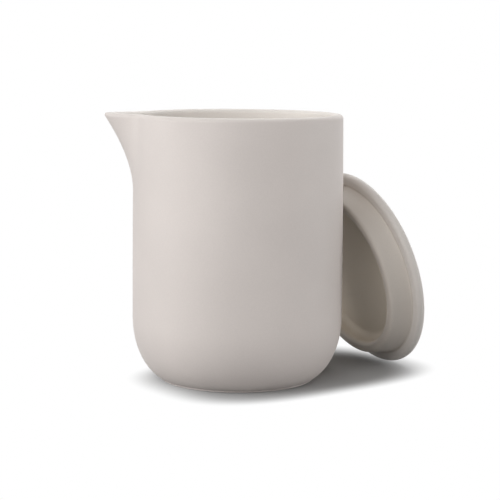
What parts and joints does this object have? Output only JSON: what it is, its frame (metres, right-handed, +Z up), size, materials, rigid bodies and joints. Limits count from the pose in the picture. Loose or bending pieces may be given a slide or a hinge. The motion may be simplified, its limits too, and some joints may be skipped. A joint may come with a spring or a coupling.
{
  "type": "lidded pouring jug",
  "caption": "Round ceramic pouring jug with a beak spout and a plain plug lid, shown off and leaning on the jug.",
  "frame": {"origin": "centre of the jug's foot, on the jug's axis, at the height of the surface it stands on", "axes": "+Z up along the jug's axis; -X out through the spout; +Y towards the back"},
  "size_m": [0.1619, 0.137, 0.1335],
  "materials": {
    "jug_ceramic": "smooth matt, warm light grey",
    "lid_ceramic": "smooth matt, warm light grey"
  },
  "bodies": {
    "jug": {"jug": "jug_ceramic"},
    "lid": {"lid": "lid_ceramic"}
  },
  "joints": [
    {"name": "lid_lift", "type": "slide", "parent": "jug", "child": "lid", "axis": [0, 0, 1], "range_m": [0, 0.15]}
  ]
}
